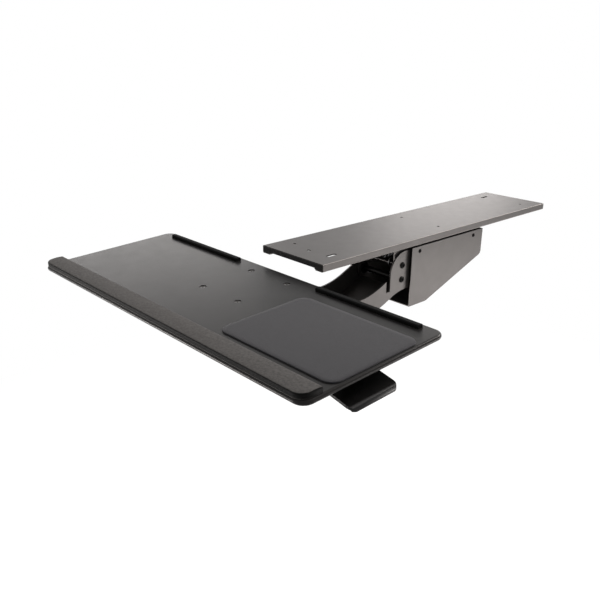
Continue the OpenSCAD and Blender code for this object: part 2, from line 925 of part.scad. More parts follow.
module pivot_shaft() {
    color([0.60, 0.60, 0.61])
        tapped_shaft(pivot, pivot_d);
}

module pivot_screws() {
    color([0.12, 0.12, 0.12])
        shaft_screws(pivot);
}

module spring_shaft() {
    color([0.60, 0.60, 0.61])
        tapped_shaft(spring_pin, spring_pin_d);
}

module spring_shaft_screws() {
    color([0.12, 0.12, 0.12])
        shaft_screws(spring_pin);
}

module friction_washers() {
    color([0.30, 0.28, 0.25])
        washer_pair(pivot, pivot_d + 2 * friction_rim, pivot_d + 0.2);
}

module tilt_shaft() {
    color([0.60, 0.60, 0.61])
        tapped_shaft(tilt, tilt_d);
}

module tilt_screws() {
    color([0.12, 0.12, 0.12])
        shaft_screws(tilt);
}

module tilt_washers() {
    color([0.30, 0.28, 0.25])
        washer_pair(tilt, tilt_d + 2 * tilt_rim, tilt_d + 0.2);
}

module tilt_bushings() {
    color([0.85, 0.85, 0.82])
        bushing_pair(flange_out, tilt, tilt_d);
}

module tray_holes(d, z0, z1) {
    for (x = [-1, 1], y = [-1, 1])
        translate([x * tray_row / 2, -tilt_reach + y * tray_pitch / 2, z0])
            cylinder(d = d, h = z1 - z0);
}

module flange_outline() {
    translate(tilt_local)
        circle(tilt_d / 2 + 9);
    translate(rod_local)
        circle(rod_d / 2 + 6);
    polygon([[tilt_local[0] + 34, plate_bot + 1], tilt_local + [tilt_d / 2 + 9, 0],
        tilt_local - [0, tilt_d / 2 + 9], rod_local - [rod_d / 2 + 6, 0], [rod_local[0] - 18, plate_bot + 1]]);
}

module tilt_bracket() {
    color([0.16, 0.16, 0.16])
        in_tray()
            difference() {
                union() {
                    translate([0, -tilt_reach, plate_bot])
                        linear_extrude(plate_t)
                            soft_rect(tray_row + 54, tray_pitch + 26, 12);
                    both_sides()
                        side(flange_in, flange_out)
                            flange_outline();
                }
                tray_holes(tray_screw_d + 0.4, plate_bot - 1, -tray_t + 1);
                bar(-arm_w, arm_w, tilt_local, tilt_d + 4);
                bar(-arm_w, arm_w, rod_local, rod_d + 2 * fit);
            }
}

// Board with a full round edge, back edge on y = 0 and top face on z = 0
module round_board(w, d, t, r) {
    translate([0, -d / 2, -t / 2]) {
        translate([0, 0, -t / 2])
            linear_extrude(t)
                soft_rect(w - t, d - t, r - t / 2);
        for (s = [-1, 1]) {
            bar(r - w / 2, w / 2 - r, [s * (d - t) / 2, 0], t);
            translate([s * (w - t) / 2, d / 2 - r, 0])
                rotate([90, 0, 0])
                    cylinder(d = t, h = d - 2 * r);
        }
        for (a = [0:3])
            translate([(a == 0 || a == 3 ? 1 : -1) * (w / 2 - r), (a < 2 ? 1 : -1) * (d / 2 - r), 0])
                rotate([0, 0, 90 * a])
                    rotate_extrude(angle = 90)
                        translate([r - t / 2, 0])
                            circle(d = t);
    }
}

module tray_board() {
    color([0.22, 0.21, 0.21])
        in_tray()
            difference() {
                round_board(tray_w, tray_d, tray_t, tray_corner);
                tray_holes(tray_screw_d + 0.4, -tray_t - 1, 1);
                for (x = [-1, 1], y = [-1, 1])
                    translate([x * tray_row / 2, -tilt_reach + y * tray_pitch / 2, -tray_sink]) {
                        cylinder(d = tray_screw_head + 0.6, h = tray_sink + 1);
                        translate([0, 0, -3])
                            cylinder(d1 = tray_screw_d + 0.4, d2 = tray_screw_head + 0.6, h = 3.01);
                    }
                bearing_screw_places()
                    translate([0, 0, -tray_t - 1])
                        cylinder(d = 3.2, h = 6);
            }
}

module tray_screws() {
    color([0.30, 0.30, 0.31])
        in_tray()
            for (x = [-1, 1], y = [-1, 1])
                translate([x * tray_row / 2, -tilt_reach + y * tray_pitch / 2, 0])
                    difference() {
                        union() {
                            translate([0, 0, plate_bot - 6])
                                cylinder(d = tray_screw_d, h = tray_t + plate_t + 3.5 - tray_sink);
                            translate([0, 0, -3 - tray_sink])
                                cylinder(d1 = tray_screw_d, d2 = tray_screw_head, h = 2.8);
                        }
                        translate([0, 0, -1.8 - tray_sink])
                            cylinder(d = 3.4, h = 3, $fn = 6);
                    }
}

module tray_nuts() {
    color([0.70, 0.70, 0.72])
        in_tray()
            for (x = [-1, 1], y = [-1, 1])
                translate([x * tray_row / 2, -tilt_reach + y * tray_pitch / 2, plate_bot - 4])
                    hex_nut(tray_screw_d + 0.1, tray_screw_d + 3, 4);
}

// Section of the palm rest, l long from back to front, with a round upper front edge
module palm_section(l) {
    square([l, palm_h - palm_r]);
    square([l - palm_r, palm_h]);
    translate([l - palm_r, palm_h - palm_r])
        intersection() {
            circle(palm_r);
            square(palm_r);
        }
}

module palm_rest() {
    color([0.30, 0.29, 0.28])
        in_tray()
            translate([0, -tray_d, 0]) {
                translate([tray_corner - tray_w / 2, palm_d, 0])
                    rotate([90, 0, 90])
                        mirror([1, 0, 0])
                            linear_extrude(tray_w - 2 * tray_corner)
                                palm_section(palm_d);
                both_sides()
                    translate([tray_w / 2 - tray_corner, tray_corner, 0]) {
                        rotate([0, 0, -90])
                            rotate_extrude(angle = 90)
                                palm_section(tray_corner);
                        translate([0, palm_d - tray_corner, 0])
                            rotate([90, 0, 0])
                                linear_extrude(palm_d - tray_corner)
                                    palm_section(tray_corner);
                    }
            }
}

module back_stop(x) {
    edge = back_stop_h * 0.45;
    color([0.05, 0.05, 0.05])
        in_tray()
            translate([x, -back_stop_y - back_stop_d / 2, 0])
                rotate([90, 0, 90])
                    linear_extrude(stop_l) {
                        translate([-back_stop_d / 2, 0])
                            square([back_stop_d, back_stop_h - edge]);
                        translate([edge - back_stop_d / 2, 0])
                            square([back_stop_d - 2 * edge, back_stop_h]);
                        for (s = [-1, 1])
                            translate([s * (back_stop_d / 2 - edge), back_stop_h - edge])
                                circle(edge);
                    }
}

module back_stop_left() {
    back_stop(-stop_gap - stop_l);
}

module back_stop_right() {
    back_stop(stop_gap);
}

module mouse_pad() {
    color([0.20, 0.20, 0.22])
        in_tray()
            translate([tray_w / 2 - pad_side - pad_w / 2, palm_d + pad_front + pad_d / 2 - tray_d, 0])
                linear_extrude(pad_t)
                    soft_rect(pad_w, pad_d, pad_corner);
}

module release_rod() {
    color([0.60, 0.60, 0.61])
        in_tray()
            difference() {
                bar(-arm_w / 2 - 2, hub_to - 2, rod_local, rod_d);
                translate([hub_from + 7, rod_local[0], rod_local[1] - rod_d])
                    cylinder(d = 3.1, h = 2 * rod_d);
            }
}

module finger_outline() {
    line = nose_local - rod_local;
    across = [-line[1], line[0]] / norm(line);
    translate(rod_local)
        circle(hub_r);
    translate(nose_local)
        circle(nose_r);
    polygon([rod_local + across * hub_r, rod_local - across * hub_r, nose_local - across * nose_r,
        nose_local + across * nose_r]);
}

module brake_fingers() {
    color([0.55, 0.55, 0.56])
        in_tray()
            difference() {
                both_sides()
                    side(arm_in, arm_w / 2)
                        difference() {
                            finger_outline();
                            translate(tilt_local)
                                circle(head_r + brake_gap);
                        }
                bar(-arm_w, arm_w, rod_local, rod_d + 0.04);
                bar(arm_in - 1, arm_w, rod_local + [-return_coil, 0], return_wire + 0.1);
            }
}

module bearing_screw_places() {
    for (s = [-1, 1])
        translate([bearing_x, rod_local[0] + s * 14, 0])
            children();
}

module rod_bearing() {
    color([0.10, 0.10, 0.10])
        in_tray()
            difference() {
                union() {
                    translate([bearing_x, rod_local[0], -tray_t - 3])
                        linear_extrude(3)
                            soft_rect(16, 40, 6);
                    side(bearing_x - 8, bearing_x + 8) {
                        translate(rod_local)
                            circle(rod_d / 2 + 4);
                        translate([rod_local[0] - rod_d / 2 - 4, rod_local[1]])
                            square([rod_d + 8, -tray_t - rod_local[1]]);
                    }
                }
                bar(0, tray_w, rod_local, rod_d + 2 * fit);
                bearing_screw_places()
                    translate([0, 0, -tray_t - 4])
                        cylinder(d = 4.2, h = 5);
            }
}

module bearing_screws() {
    color([0.12, 0.12, 0.12])
        in_tray()
            bearing_screw_places()
                translate([0, 0, -tray_t - 3])
                    rotate([180, 0, 0])
                        dome_screw(3.1, 7, 2.2, 7.5);
}

// Section of the paddle from left to right: a flat plate that curls down at its outer edge
module paddle_section() {
    translate([0, -paddle_t])
        square([paddle_l - paddle_lip, paddle_t]);
    translate([paddle_l - paddle_lip, -paddle_lip])
        intersection() {
            difference() {
                circle(paddle_lip);
                circle(paddle_lip - paddle_t);
            }
            square(paddle_lip);
        }
}

module lever_paddle() {
    color([0.08, 0.08, 0.08])
        in_tray()
            difference() {
                union() {
                    bar(hub_from, hub_to, rod_local, rod_d + 6);
                    translate([paddle_in + 10, rod_local[0] + 3, rod_local[1]])
                        rotate([0, paddle_slope, 0])
                            translate([-10 / cos(paddle_slope), 0, paddle_t / 2])
                                rotate([90, 0, 0])
                                    linear_extrude(paddle_w)
                                        paddle_section();
                }
                bar(hub_from - 1, hub_to - 2, rod_local, rod_d + 0.04);
                translate([hub_from + 7, rod_local[0], rod_local[1] - rod_d * 2])
                    cylinder(d = 3.1, h = rod_d * 4);
            }
}

module paddle_pin() {
    color([0.40, 0.40, 0.41])
        in_tray()
            translate([hub_from + 7, rod_local[0], rod_local[1] - rod_d / 2 - 3])
                cylinder(d = 3, h = rod_d + 6);
}

// Torsion spring round the rod, one leg in the right brake finger and one under the bracket's plate
function return_path() = concat([[arm_in + 0.5, -return_coil, 0], [return_from, -return_coil, 0]],
    [for (k = [1:return_turns * curl_steps]) let (a = 180 + 360 * k / curl_steps)
        [return_from + return_pitch * k / curl_steps, return_coil * cos(a), return_coil * sin(a)]],
    [[return_from + return_pitch * return_turns, return_coil, plate_bot - 0.3 - rod_local[1]]]);

module return_spring() {
    echo("return spring, least gap between turns", wire_gap(return_path(), return_wire, curl_steps / 2));
    color([0.55, 0.55, 0.56])
        in_tray()
            translate([0, rod_local[0], rod_local[1]])
                wire_along(return_path(), return_wire, [0, 0, 1]);
}

track_plate();
guide_rail_left();
guide_rail_right();
rail_cap_front();
rail_cap_rear();
end_bumpers();
slide_plate();
glide_pads();
swivel_bolt();
swivel_stop_pin();
thrust_washer();
swivel_washer();
swivel_nut();
swivel_bracket();
pivot_bushings();
cover_standoffs();
mechanism_cover();
cover_screws();
spring_anchor_pin();
anchor_clips();
lift_springs();
arm_channel();
pivot_shaft();
pivot_screws();
spring_shaft();
spring_shaft_screws();
friction_washers();
tilt_shaft();
tilt_screws();
tilt_washers();
tilt_bushings();
tilt_bracket();
tray_board();
tray_screws();
tray_nuts();
palm_rest();
back_stop_left();
back_stop_right();
mouse_pad();
release_rod();
brake_fingers();
rod_bearing();
bearing_screws();
lever_paddle();
paddle_pin();
return_spring();
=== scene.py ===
import json
import math

import bmesh
import bpy
from mathutils import Matrix, Vector


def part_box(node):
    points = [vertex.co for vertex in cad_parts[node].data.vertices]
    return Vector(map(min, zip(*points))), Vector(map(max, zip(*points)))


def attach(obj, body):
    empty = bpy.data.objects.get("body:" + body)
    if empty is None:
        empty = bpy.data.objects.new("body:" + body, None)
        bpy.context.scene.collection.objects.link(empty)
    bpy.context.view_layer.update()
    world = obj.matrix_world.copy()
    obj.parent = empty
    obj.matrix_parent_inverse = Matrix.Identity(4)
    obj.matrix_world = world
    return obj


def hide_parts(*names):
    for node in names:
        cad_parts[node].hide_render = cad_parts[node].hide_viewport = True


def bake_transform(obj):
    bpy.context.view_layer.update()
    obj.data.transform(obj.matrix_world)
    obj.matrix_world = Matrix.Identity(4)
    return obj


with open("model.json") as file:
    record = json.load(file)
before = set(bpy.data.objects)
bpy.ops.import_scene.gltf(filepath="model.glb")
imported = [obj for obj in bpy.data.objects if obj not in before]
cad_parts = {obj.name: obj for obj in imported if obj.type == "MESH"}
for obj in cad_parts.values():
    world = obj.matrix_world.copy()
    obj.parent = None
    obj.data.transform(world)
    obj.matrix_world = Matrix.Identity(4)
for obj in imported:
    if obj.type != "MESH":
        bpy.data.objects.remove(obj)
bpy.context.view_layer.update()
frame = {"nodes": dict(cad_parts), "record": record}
nodes = frame["nodes"]

# Sizes are in metres, and angles in degrees where nothing turns them into radians.

# The photograph's camera, with its sensor and lens in millimetres
CAMERA_PLACE = Vector((0.84197, -1.09094, 0.34779))
CAMERA_YAW = 47.25
CAMERA_PITCH = 20.66
CAMERA_ROLL = 0.62
CAMERA_SENSOR = 36
CAMERA_LENS = 43.2

# The floor: its height, half width, colour, glow where it is seen, and how fast it fades into the surround
FLOOR_Z = -0.75
FLOOR_REACH = 6.0
FLOOR_GREY = (0.6, 0.6, 0.6, 1)
FLOOR_ROUGH = 0.9
FLOOR_GLOW = 0.6
FLOOR_FADE = 0.7

# Tints of the gloss on painted faces and of the lamps, and the strength of the sky
WHITE = (1, 1, 1, 1)
WARM_GLOSS = (1, 0.94, 0.91, 1)
WARM_LIGHT = (1, 0.955, 0.93)
SKY = 0.2

# Lamps: name, place, point that they face, width, height, watts, and whether glossy faces mirror them
LAMPS = [
    ("overhead", (-0.2, -0.1, 1.7), (-0.1, -0.2, 0), 2.0, 2.0, 12, False),
    ("right_key", (1.03, 0.88, -0.55), (0.05, -0.1, -0.08), 0.85, 0.32, 8.2, True),
    ("rear_glow", (-1.11, 1.6, 0.43), (0, 0.1, 0), 0.6, 0.36, 4.5, True),
    ("left_glow", (-1.535, 0.216, 0.416), (0, -0.6, -0.05), 0.9, 0.25, 2.1, True),
    ("edge_strip", (0.6, 1.5, 1.2), (0, -0.2, 0), 1.0, 0.5, 36, True),
    ("front_strip", (-0.77, -1.2, -0.46), (-0.77, -0.6, -0.36), 0.92, 0.26, 16, True),
]

# The board, which slopes down to the front
TRAY_SLOPE = math.radians(2.9)
BOARD_THICK = 0.008
BOARD_CORNER = 0.017

# The palm rest: its section, how much shorter than its node it is at each end, and its gap to the board
PALM_DEPTH = 0.0335
PALM_HEIGHT = 0.0085
PALM_INSET = 0.003
PALM_EDGE = 0.002
PALM_CROWN = 0.0006
PALM_GAP = 0.0003
CROWN_STEPS = 8
EDGE_STEPS = 5

# The mouse pad and its gap to the board
PAD_THICK = 0.002
PAD_CORNER = 0.018
PAD_EDGE = 0.0013
PAD_GAP = 0.0002

# The lift springs: wire, radius of the coil at the middle of its wire, turns, distance of each from the
# middle plane, neck between hook and coil, how far before the coil it ends, and the hook's play on its pin
SPRING_WIRE = 0.0024
SPRING_COIL = 0.008
SPRING_TURNS = 18
SPRING_APART = 0.022
SPRING_NECK = 0.004
SPRING_LEAD = 0.002
SPRING_PLAY = 0.0003

# The return spring: wire, coil, turns and pitch, its gap to the brake fingers, and the height at which its
# upper leg ends, in the tray's own axes
RETURN_WIRE = 0.0016
RETURN_COIL = 0.006
RETURN_TURNS = 5.5
RETURN_PITCH = 0.0024
RETURN_GAP = 0.0016
RETURN_LEG_END = -0.0113

# Points on one turn of a coil, and the fineness of the wire's section
COIL_STEPS = 24
WIRE_FINENESS = 3

# The paddle's plate behind the release rod and across, its thickness and slope, the reach of its curled
# outer edge, the share of the curl's drop that stays, and the radius of the outer corners
PADDLE_BACK = 0.003
PADDLE_WIDTH = 0.086
PADDLE_THICK = 0.004
PADDLE_SLOPE = math.radians(12)
PADDLE_CURL = 0.012
PADDLE_DROP = 0.4
PADDLE_CORNER = 0.011
PADDLE_SHARP = math.radians(35)
CORNER_STEPS = 12

# How far the cutters of the paddle's corners reach past it, and how deep they go below the board's top
CUT_SPARE = 0.004
CUT_DEPTH = 0.09


def shader(name):
    """A new material, its node tree and its main shader."""
    mat = bpy.data.materials.new(name)
    mat.use_nodes = True
    return mat, mat.node_tree, mat.node_tree.nodes["Principled BSDF"]


def add(tree, kind, **values):
    """A new shader node with its inputs and settings given by name."""
    node = tree.nodes.new(kind)
    for key, value in values.items():
        if key in node.inputs:
            node.inputs[key].default_value = value
        else:
            setattr(node, key, value)
    return node


def texture(tree, kind, output, **values):
    """A texture of the object's own coordinates."""
    node = add(tree, kind, **values)
    tree.links.new(add(tree, "ShaderNodeTexCoord").outputs["Object"], node.inputs["Vector"])
    return node.outputs[output]


def noise(tree, scale, detail=2.0, roughness=0.5):
    return texture(tree, "ShaderNodeTexNoise", "Fac", Scale=scale, Detail=detail, Roughness=roughness)


def cells(tree, scale):
    return texture(tree, "ShaderNodeTexVoronoi", "Distance", Scale=scale)


def ramp(tree, factor, low, high, start=0.3, end=0.7):
    """Turns a factor into a colour between low and high."""
    node = add(tree, "ShaderNodeValToRGB")
    for element, position, colour in zip(node.color_ramp.elements, (start, end), (low, high)):
        element.position = position
        element.color = (*colour, 1)
    tree.links.new(factor, node.inputs["Fac"])
    return node.outputs["Color"]


def span(tree, factor, low, high):
    """Turns a factor into a number between low and high."""
    node = add(tree, "ShaderNodeMapRange")
    node.inputs["To Min"].default_value = low
    node.inputs["To Max"].default_value = high
    tree.links.new(factor, node.inputs["Value"])
    return node.outputs["Result"]


def facing(tree, axis, start, end):
    """0 to 1 as a face turns towards an axis of the object: its normal's share goes from start to end."""
    split = add(tree, "ShaderNodeSeparateXYZ")
    tree.links.new(add(tree, "ShaderNodeTexCoord").outputs["Normal"], split.inputs[0])
    size = add(tree, "ShaderNodeMath", operation="ABSOLUTE")
    tree.links.new(split.outputs[axis], size.inputs[0])
    share = add(tree, "ShaderNodeMapRange", interpolation_type="SMOOTHSTEP")
    share.inputs["From Min"].default_value = start
    share.inputs["From Max"].default_value = end
    tree.links.new(size.outputs["Value"], share.inputs["Value"])
    return share.outputs["Result"]


def product(tree, first, second):
    node = add(tree, "ShaderNodeMath", operation="MULTIPLY")
    tree.links.new(first, node.inputs[0])
    tree.links.new(second, node.inputs[1])
    return node.outputs["Value"]


def mix_colours(tree, factor, first, second):
    node = add(tree, "ShaderNodeMix", data_type="RGBA")
    for value, place in ((factor, 0), (first, 6), (second, 7)):
        tree.links.new(value, node.inputs[place])
    return node.outputs[2]


def mix_shaders(tree, factor, first, second):
    node = add(tree, "ShaderNodeMixShader")
    for place, value in enumerate((factor, first, second)):
        tree.links.new(value, node.inputs[place])
    return node.outputs[0]


def surface(tree, bsdf, colour, roughness):
    tree.links.new(colour, bsdf.inputs["Base Color"])
    tree.links.new(roughness, bsdf.inputs["Roughness"])


def bump(tree, bsdf, height, strength, depth):
    node = add(tree, "ShaderNodeBump", Strength=strength, Distance=depth)
    tree.links.new(height, node.inputs["Height"])
    tree.links.new(node.outputs["Normal"], bsdf.inputs["Normal"])


def powder_coat(name, low, high, rough, specular=0.5, edge_highlight_gain=1):
    """Satin powder coat: orange-peel bumps, slow shifts of tone and gloss, and bent edges painted paler by the
    last argument's factor, a painted highlight for the light that rounded edges catch.
    """
    mat, tree, bsdf = shader(name)
    bsdf.inputs["Specular IOR Level"].default_value = specular
    bsdf.inputs["Specular Tint"].default_value = WARM_GLOSS
    face = ramp(tree, noise(tree, 26, 3), low, high)
    # Painted highlight: faces that turn between X and Z, at the bent edges, get a paler colour that stands in
    # for the light a rounded edge catches.
    edge = ramp(tree, noise(tree, 26, 3), *([edge_highlight_gain * v for v in tone] for tone in (low, high)))
    edge_highlight_mask = product(tree, *(facing(tree, axis, 0.25, 0.45) for axis in "XZ"))
    surface(tree, bsdf, mix_colours(tree, edge_highlight_mask, face, edge),
            span(tree, noise(tree, 60, 4), rough - 0.03, rough + 0.04))
    bump(tree, bsdf, noise(tree, 1100, 2), 0.18, 0.00012)
    return mat


def plated_steel(name, low, high, rough):
    """Plated steel with fine turning marks and a cloudy passivation."""
    mat, tree, bsdf = shader(name)
    bsdf.inputs["Metallic"].default_value = 1.0
    surface(tree, bsdf, ramp(tree, noise(tree, 160, 4), low, high),
            span(tree, noise(tree, 420, 3), rough - 0.07, rough + 0.1))
    bump(tree, bsdf, noise(tree, 1800, 2), 0.1, 0.00006)
    return mat


def moulded_plastic(name, low, high, rough, specular=0.5):
    """Moulded plastic with a fine spark-eroded grain."""
    mat, tree, bsdf = shader(name)
    bsdf.inputs["Specular IOR Level"].default_value = specular
    surface(tree, bsdf, ramp(tree, noise(tree, 90, 3), low, high),
            span(tree, noise(tree, 300, 3), rough - 0.05, rough + 0.08))
    bump(tree, bsdf, noise(tree, 2200, 3, 0.65), 0.22, 0.00008)
    return mat


def rubber(name, low, high):
    """Dull rubber with a faint grain."""
    mat, tree, bsdf = shader(name)
    bsdf.inputs["Specular IOR Level"].default_value = 0.05
    surface(tree, bsdf, ramp(tree, noise(tree, 120, 3), low, high), span(tree, noise(tree, 350, 3), 0.6, 0.8))
    bump(tree, bsdf, noise(tree, 2600, 2), 0.2, 0.00008)
    return mat


def board_laminate(name, low, high):
    """Black board with a fine pebbled face and a soft sheen."""
    mat, tree, bsdf = shader(name)
    bsdf.inputs["Specular IOR Level"].default_value = 0.13
    bsdf.inputs["Specular Tint"].default_value = WARM_GLOSS
    surface(tree, bsdf, ramp(tree, noise(tree, 14, 4), low, high), span(tree, noise(tree, 40, 4), 0.27, 0.35))
    bump(tree, bsdf, cells(tree, 1500), 0.12, 0.0001)
    return mat


def woven_cloth(name, low, high, pitch):
    """Fine cloth: two crossed sets of threads with a little sheen."""
    mat, tree, bsdf = shader(name)
    bsdf.inputs["Sheen Weight"].default_value = 0.25
    bsdf.inputs["Sheen Roughness"].default_value = 0.5
    bsdf.inputs["Specular IOR Level"].default_value = 0.25
    surface(tree, bsdf, ramp(tree, noise(tree, 700, 4, 0.7), low, high),
            span(tree, noise(tree, 200, 3), 0.8, 0.95))
    threads = [texture(tree, "ShaderNodeTexWave", "Fac", Scale=math.pi / 10 / pitch, Distortion=0.6,
                       bands_direction=direction) for direction in "XY"]
    bump(tree, bsdf, product(tree, *threads), 0.35, 0.00015)
    return mat


def soft_skin(name, low, high, shaded_side_low, shaded_side_high):
    """Soft leather-like skin of the palm rest with a fine grain, with painted light and shade: its
    upward-facing top is painted paler and its sides painted darker.
    """
    mat, tree, bsdf = shader(name)
    bsdf.inputs["Specular IOR Level"].default_value = 0.06
    bsdf.inputs["Sheen Weight"].default_value = 0.02
    bsdf.inputs["Sheen Roughness"].default_value = 0.45
    # Painted shade on the sides and painted light on the top: faces turned up get the paler colours, the rest
    # the darker ones.
    side = ramp(tree, noise(tree, 320, 5, 0.65), shaded_side_low, shaded_side_high)
    top = ramp(tree, noise(tree, 320, 5, 0.65), low, high)
    surface(tree, bsdf, mix_colours(tree, facing(tree, "Z", 0.55, 0.85), side, top),
            span(tree, noise(tree, 500, 3), 0.58, 0.75))
    bump(tree, bsdf, cells(tree, 900), 0.4, 0.0002)
    return mat


def dress(mesh, material):
    mesh.materials.clear()
    mesh.materials.append(material)


def paint_nodes():
    """Gives each CAD node the material of its slot in the record, or its own shade of it."""
    finishes = {
        slot: make(slot, *values) for slot, make, *values in (
            # powder_black's last number makes its bent edges six times paler, a painted highlight.
            ("powder_black", powder_coat, (0.042, 0.0388, 0.037), (0.05, 0.0463, 0.0442), 0.46, 0.5, 6),
            ("black_rubber", rubber, (0.005, 0.005, 0.005), (0.009, 0.009, 0.009)),
            ("zinc_steel", plated_steel, (0.42, 0.42, 0.43), (0.6, 0.6, 0.6), 0.32),
            ("black_steel", powder_coat, (0.003, 0.003, 0.003), (0.005, 0.005, 0.005), 0.22, 0.12),
            ("spring_steel", plated_steel, (0.22, 0.22, 0.22), (0.34, 0.34, 0.35), 0.3),
            ("white_nylon", moulded_plastic, (0.62, 0.61, 0.58), (0.7, 0.69, 0.66), 0.45),
            ("black_nylon", moulded_plastic, (0.006, 0.0058, 0.0056), (0.009, 0.0086, 0.0084), 0.4, 0.1),
            ("black_board", board_laminate, (0.0125, 0.012, 0.0118), (0.017, 0.0162, 0.016)),
            # The palm skin's second pair of colours is painted shade for its sides; the first is its top,
            # painted paler as if lit.
            ("grey_padding", soft_skin, (0.082, 0.0785, 0.076), (0.15, 0.144, 0.139),
             (0.003, 0.0029, 0.0028), (0.006, 0.0058, 0.0056)),
            ("pad_cloth", woven_cloth, (0.031, 0.0308, 0.035), (0.046, 0.0455, 0.051), 0.0006),
        )
    }
    cap = moulded_plastic("cap_nylon", (0.024, 0.0225, 0.022), (0.034, 0.032, 0.031), 0.45, 0.2)
    own = {
        # The tray screws are painted paler than their black_steel slot: a painted highlight for the light
        # marks on their heads.
        "tray_screws": powder_coat("screw_painted_highlight", (0.06, 0.057, 0.055), (0.1, 0.096, 0.093), 0.3),
        "rail_cap_front": cap,
        "rail_cap_rear": cap,
    }
    for part in frame["record"]["subparts"]:
        dress(nodes[part["node"]].data, own.get(part["node"], finishes[part["material_slot"]]))
    return finishes


def middle_of(node):
    low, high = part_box(node)
    return (Vector(low) + Vector(high)) / 2


def tray_frame():
    """Matrix from the tray's own axes, back top edge in the middle, to the shared frame."""
    pad_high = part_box("mouse_pad")[1]
    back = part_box("tray_board")[1][1]
    top = pad_high[2] - PAD_THICK * math.cos(TRAY_SLOPE) + (back - pad_high[1]) * math.tan(TRAY_SLOPE)
    return Matrix.Translation((0, back, top)) @ Matrix.Rotation(TRAY_SLOPE, 4, "X")


def scene_object(name, data):
    obj = bpy.data.objects.new(name, data)
    bpy.context.scene.collection.objects.link(obj)
    return obj


def final_mesh(obj):
    """A new mesh of what an object's curve or modifiers make."""
    bpy.context.view_layer.update()
    return bpy.data.meshes.new_from_object(obj.evaluated_get(bpy.context.evaluated_depsgraph_get()))


def mesh_piece(name, points, faces, material, smooth=True):
    mesh = bpy.data.meshes.new(name)
    mesh.from_pydata([tuple(p) for p in points], [], faces)
    mesh.update()
    for face in mesh.polygons:
        face.use_smooth = smooth
    mesh.materials.append(material)
    return scene_object(name, mesh)


def loft(name, rings, material):
    """Closed skin over a row of rings that have the same number of points."""
    count = len(rings[0])
    points = [p for ring in rings for p in ring]
    faces = []
    for i in range(len(rings) - 1):
        for j in range(count):
            a, b = i * count + j, i * count + (j + 1) % count
            faces.append((a, b, b + count, a + count))
    faces.append(tuple(reversed(range(count))))
    faces.append(tuple(range(len(points) - count, len(points))))
    return mesh_piece(name, points, faces, material)


def arc(centre, radius, start, end, steps):
    """Points of an arc from one angle to another."""
    angles = [math.radians(start + (end - start) * k / steps) for k in range(steps + 1)]
    return [(centre[0] + radius * math.cos(a), centre[1] + radius * math.sin(a)) for a in angles]


def palm_ring(x, front, back, height, place):
    """Section of the palm rest at x: flat below, soft edges and a slight crown above."""
    depth = back - front
    edge = min(PALM_EDGE, depth * 0.3, height * 0.4)
    outline = [(front, PALM_GAP), (front, height - edge)]
    outline += arc((front + edge, height - edge), edge, 180, 90, EDGE_STEPS)[1:]
    outline += [(front + edge + (depth - 2 * edge) * k / CROWN_STEPS,
                 height + PALM_CROWN * math.sin(math.pi * k / CROWN_STEPS)) for k in range(1, CROWN_STEPS)]
    outline += arc((back - edge, height - edge), edge, 90, 0, EDGE_STEPS)
    outline += [(back, PALM_GAP)]
    return [place @ Vector((x, y, z)) for y, z in outline]


def palm_rest(place, material):
    """Soft bar along the board's front edge, with the board's round corners in front."""
    low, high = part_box("palm_rest")
    half = (high[0] - low[0]) / 2 - PALM_INSET
    board_low, board_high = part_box("tray_board")
    depth = (board_high[1] - board_low[1]) / math.cos(TRAY_SLOPE) - BOARD_THICK * math.tan(TRAY_SLOPE)
    back = PALM_DEPTH - depth
    straight = half - BOARD_CORNER
    level = half - PALM_EDGE
    stations = [straight * k / 10 for k in range(11)]
    stations += [straight + BOARD_CORNER * math.sin(math.radians(6 * k)) for k in range(1, 14)]
    stations += [level + PALM_EDGE * math.sin(math.radians(18 * k)) for k in range(1, 6)]
    stations = sorted(set(round(s, 6) for s in stations))
    rings = []
    for x in [-s for s in reversed(stations)] + stations[1:]:
        past = max(abs(x) - straight, 0)
        front = -depth + BOARD_CORNER - math.sqrt(max(BOARD_CORNER ** 2 - past ** 2, 0))
        over = max(abs(x) - level, 0)
        sink = PALM_EDGE - math.sqrt(max(PALM_EDGE ** 2 - over ** 2, 0))
        rings.append(palm_ring(x, front, back, PALM_HEIGHT - sink, place))
    piece = loft("palm_rest_skin", rings[::-1], material)
    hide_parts("palm_rest")
    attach(piece, "tray")


def soft_rectangle(width, depth, corner, inset):
    """Points of a rounded rectangle whose round corners are drawn in by inset."""
    outline = []
    for quarter, (sx, sy) in enumerate([(1, 1), (-1, 1), (-1, -1), (1, -1)]):
        centre = (sx * (width / 2 - corner), sy * (depth / 2 - corner))
        outline += arc(centre, corner - inset, 90 * quarter, 90 * quarter + 90, 10)
    return outline


def mouse_pad(place, material):
    """Thin cloth pad with a soft upper edge."""
    low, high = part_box("mouse_pad")
    width = high[0] - low[0]
    depth = (high[1] - low[1] - PAD_THICK * math.sin(TRAY_SLOPE)) / math.cos(TRAY_SLOPE)
    middle = place.inverted() @ middle_of("mouse_pad")
    rings = []
    for inset, z in [(0.0, PAD_GAP), (0.0, PAD_THICK - PAD_EDGE),
                     (PAD_EDGE * 0.3, PAD_THICK - PAD_EDGE * 0.3),
                     (PAD_EDGE, PAD_THICK), (PAD_EDGE * 6, PAD_THICK)]:
        rings.append([place @ Vector((middle.x + x, middle.y + y, z))
                      for x, y in soft_rectangle(width, depth, PAD_CORNER, inset)])
    piece = loft("mouse_pad_cloth", rings, material)
    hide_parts("mouse_pad")
    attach(piece, "tray")


